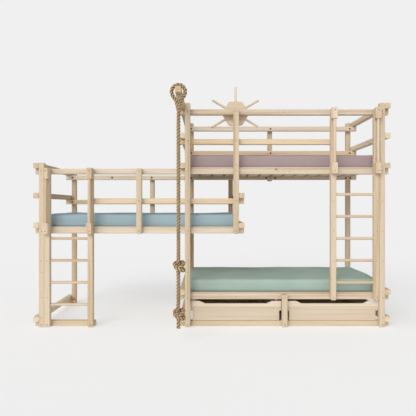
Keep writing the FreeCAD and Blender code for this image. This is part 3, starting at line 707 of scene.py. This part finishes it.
def blow_up(made, bottom):
    """A short cloth simulation with air inside and the underside held, then capped and kept."""
    held = made.vertex_groups.new(name="underside")
    low = [v.index for v in made.data.vertices if v.co.z < bottom + HELD_HEIGHT]
    held.add(low, 1.0, "REPLACE")
    rest = np.empty(len(made.data.vertices) * 3)
    made.data.vertices.foreach_get("co", rest)
    cloth = made.modifiers.new("cover", "CLOTH")
    for key, value in CLOTH.items():
        setattr(cloth.settings, key, value)
    cloth.settings.vertex_group_mass = held.name
    cloth.settings.effector_weights.gravity = 0.0
    cloth.point_cache.frame_start = 1
    cloth.point_cache.frame_end = COVER_FRAMES
    for step in range(1, COVER_FRAMES + 1):
        SCENE.frame_set(step)
    blown = made.evaluated_get(bpy.context.evaluated_depsgraph_get())
    moved = np.empty(len(rest))
    blown.data.vertices.foreach_get("co", moved)
    made.modifiers.clear()
    SCENE.frame_set(1)
    shift = (moved - rest).reshape(-1, 3)
    length = np.linalg.norm(shift, axis=1, keepdims=True) + TINY
    shift *= COVER_SWELL * np.tanh(length / COVER_SWELL) / length
    made.data.vertices.foreach_set("co", (rest.reshape(-1, 3) + shift).ravel())
    made.data.update()


def make_cover(bed, slot, colour, seed, droop, sag, slump):
    name = bed + "_cover"
    node = bed + "_mattress"
    low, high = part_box(node)
    inner_low = Vector((low.x + COVER_SHRINK[0], low.y + COVER_SHRINK[1], low.z))
    inner_high = Vector(high[k] - COVER_SHRINK[k] for k in range(3))
    made = rounded_box(name, inner_low, inner_high, COVER_ROUND, COVER_STEP)
    ripple(made, inner_low, inner_high, seed, droop, sag, slump)
    blow_up(made, low.z)
    smooth = made.modifiers.new("smooth", "SUBSURF")
    smooth.levels = 1
    smooth.render_levels = 1
    smooth_faces(made)
    made.data.materials.append(woven(name + "_cotton", colour))
    made.data.materials.append(woven(name + "_base", PAINTED_SHADE_UNDERSIDE))
    # Faces that look down take the near-black painted shade.
    for face in made.data.polygons:
        face.material_index = int(face.normal.z < FACING_DOWN)
    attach(made, "frame")
    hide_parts(node)


def make_covers():
    for bed, settings in COVERS.items():
        make_cover(bed, *settings)


# Climbing rope

STRANDS = 3
STRAND_RADIUS = 0.0110
STRAND_OFFSET = 0.0070
STRAND_SIDES = 14
STRAND_APART = 0.31  # metres in the fibre's pattern from one strand to the next
END_PATTERN = (0.01, 0.05)
ROPE_LAY = 0.088
ROPE_STEP = 0.0055
ROUTE_FINENESS = 48
HEMP = ((0.605, 0.455, 0.270), (0.478, 0.350, 0.199), (0.125, 0.081, 0.041))
# The cut end opens by a share, over a length, and the tucked leg thins to a share, over a length
CUT_END = (0.22, 0.016)
TUCK_END = (0.25, 0.09)

# Half of the eye over the crane beam, from its top to the splice: (out from the middle, height)
EYE_LEG = (
    (0.0, 2.29025), (0.0246, 2.29025), (0.0595, 2.2554), (0.0600, 2.2061), (0.0330, 2.1720),
    (0.0145, 2.1400),
)
# The splice below the eye and the straight fall: (to the right of the middle, height)
SPLICE = ((0.005, 2.080), (0.0, 2.010), (0.0, 1.820))
# Where the eye's other leg is tucked in: (to the right of the middle, behind it, height)
TUCK = ((-0.0105, -0.004, 2.085), (-0.0055, -0.006, 2.035))
KNOT_HIGH = 0.699
KNOT_LOW = 0.278
KNOT_HIGH_TURN = math.radians(8)
KNOT_LOW_TURN = math.radians(-4)
ABOVE_KNOT = 0.30
ROPE_TAIL = 0.148
# An overhand knot about its middle, from the rope above to the rope below, in millimetres
KNOT_ROUTE = (
    (0, 0, 120), (0, -2, 82), (-2, -17, 52), (-3, -18, 24), (4, 7, 5), (21, 26, -13),
    (46, 18, -33), (49, -17, -43), (22, -37, -36), (-5, -34, -23), (-26, -21, -11), (-35, 1, 12),
    (-26, 20, 27), (-2, 31, 18), (25, 23, 31), (47, 0, 31), (41, -23, 10), (19, -29, -3),
    (4, -4, -21), (-1, 13, -43), (0, 5, -71), (0, 0, -98),
)


def knot_points(height, turn):
    """The knot's route points at a height, turned about the rope."""
    points = []
    for x, y, z in KNOT_ROUTE:
        across = x * math.cos(turn) - y * math.sin(turn)
        deep = x * math.sin(turn) + y * math.cos(turn)
        points.append((ROPE_X + across / 1000, ROPE_Y + deep / 1000, height + z / 1000))
    return points


def route(name, points):
    """The points that a smooth spline through the air gives for a row of control points."""
    data = bpy.data.curves.new(name, "CURVE")
    data.dimensions = "3D"
    spline = data.splines.new("NURBS")
    spline.points.add(len(points) - 1)
    for target, point in zip(spline.points, points):
        target.co = (*point, 1.0)
    spline.order_u = 3
    spline.use_endpoint_u = True
    spline.resolution_u = ROUTE_FINENESS
    holder = bpy.data.objects.new(name, data)
    SCENE.collection.objects.link(holder)
    mesh = bpy.data.meshes.new_from_object(holder)
    found = np.array([vertex.co for vertex in mesh.vertices])
    bpy.data.objects.remove(holder)
    return found


def even(points):
    """Points an even step apart along a row of points, and how far along each lies."""
    steps = np.linalg.norm(np.diff(points, axis=0), axis=1)
    lengths = np.concatenate([[0.0], np.cumsum(steps)])
    along = np.linspace(0.0, lengths[-1], max(2, round(lengths[-1] / ROPE_STEP)) + 1)
    return np.stack([np.interp(along, lengths, points[:, k]) for k in range(3)], axis=1), along


def carried_frames(points):
    """Two directions across the row at each point, carried along from Y without twist."""
    tangents = np.gradient(points, axis=0, edge_order=2)
    tangents /= np.linalg.norm(tangents, axis=1, keepdims=True)
    firsts = []
    first = np.array((0.0, 1.0, 0.0))
    for tangent in tangents:
        first = first - tangent * (first @ tangent)
        first /= np.linalg.norm(first)
        firsts.append(first)
    firsts = np.array(firsts)
    return firsts, np.cross(tangents, firsts)


def laid_rope(name, points, along, material, flare):
    """Three twisted strands along a row of points. flare gives the rope's width at each point."""
    firsts, seconds = carried_frames(points)
    vertices = []
    faces = []
    uvs = []
    rings = len(points)
    for strand in range(STRANDS):
        base = len(vertices)
        for k in range(rings):
            turn = TURN * along[k] / ROPE_LAY + TURN * strand / STRANDS
            out = firsts[k] * math.cos(turn) + seconds[k] * math.sin(turn)
            side = seconds[k] * math.cos(turn) - firsts[k] * math.sin(turn)
            middle = points[k] + out * STRAND_OFFSET * flare[k]
            reach = STRAND_RADIUS * min(1.0, flare[k] ** 0.5)
            for j in range(STRAND_SIDES):
                angle = TURN * j / STRAND_SIDES
                vertices.append(middle + (out * math.cos(angle) + side * math.sin(angle)) * reach)
        for k in range(rings - 1):
            for j in range(STRAND_SIDES):
                after = (j + 1) % STRAND_SIDES
                low = base + k * STRAND_SIDES
                high = low + STRAND_SIDES
                faces.append((low + j, low + after, high + after, high + j))
                for index, turns in ((k, j), (k, j + 1), (k + 1, j + 1), (k + 1, j)):
                    uvs.append((along[index] + STRAND_APART * strand, turns / STRAND_SIDES))
        for ring in (0, rings - 1):
            low = base + ring * STRAND_SIDES
            faces.append(tuple(len(vertices) + j for j in range(STRAND_SIDES)))
            vertices.extend(vertices[low:low + STRAND_SIDES])
            uvs.extend((along[ring] + END_PATTERN[0] * math.cos(j), END_PATTERN[1] * math.sin(j))
                       for j in range(STRAND_SIDES))
    made = piece(name, vertices, faces, material, "rope")
    layer = made.data.uv_layers.new(name="strand")
    layer.data.foreach_set("uv", np.array(uvs, float).ravel())
    smooth_faces(made)
    return made


def make_rope():
    fibre = hemp("hemp_rope", *HEMP)
    fall = [(ROPE_X + right, ROPE_Y, height) for right, height in EYE_LEG + SPLICE]
    fall += [(ROPE_X, ROPE_Y, KNOT_HIGH + ABOVE_KNOT)]
    fall += knot_points(KNOT_HIGH, KNOT_HIGH_TURN) + knot_points(KNOT_LOW, KNOT_LOW_TURN)
    fall += [(ROPE_X, ROPE_Y, ROPE_TAIL)]
    tucked = [(ROPE_X - left, ROPE_Y, height) for left, height in EYE_LEG]
    tucked += [(ROPE_X + right, ROPE_Y + behind, height) for right, behind, height in TUCK]

    points, along = even(route("fall_route", fall))
    opens, over = CUT_END
    flare = 1.0 + opens * np.clip(1.0 - (along[-1] - along) / over, 0.0, 1.0)
    rope = laid_rope("climbing_rope_fall", points, along, fibre, flare)
    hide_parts("climbing_rope", "rope_knots")
    leg_points, leg_along = even(route("leg_route", tucked))
    least, over = TUCK_END
    leg_flare = np.clip((leg_along[-1] - leg_along) / over, least, 1.0)
    leg = laid_rope("climbing_rope_eye", leg_points, leg_along, fibre, leg_flare)


# Floor

FLOOR_REACH = 90.0
FLOOR_CORNERS = ((-1, -1), (1, -1), (1, 1), (-1, 1))


def make_floor():
    mesh = bpy.data.meshes.new("studio_floor")
    corners = [(FLOOR_REACH * x, FLOOR_REACH * y, 0) for x, y in FLOOR_CORNERS]
    mesh.from_pydata(corners, [], [(0, 1, 2, 3)])
    mesh.materials.append(paper("studio_paper"))
    floor = bpy.data.objects.new("studio_floor", mesh)
    SCENE.collection.objects.link(floor)


make_camera()
make_light()
make_floor()
make_rope()
dress_timber()
dress_fittings()
make_fittings()
make_covers()
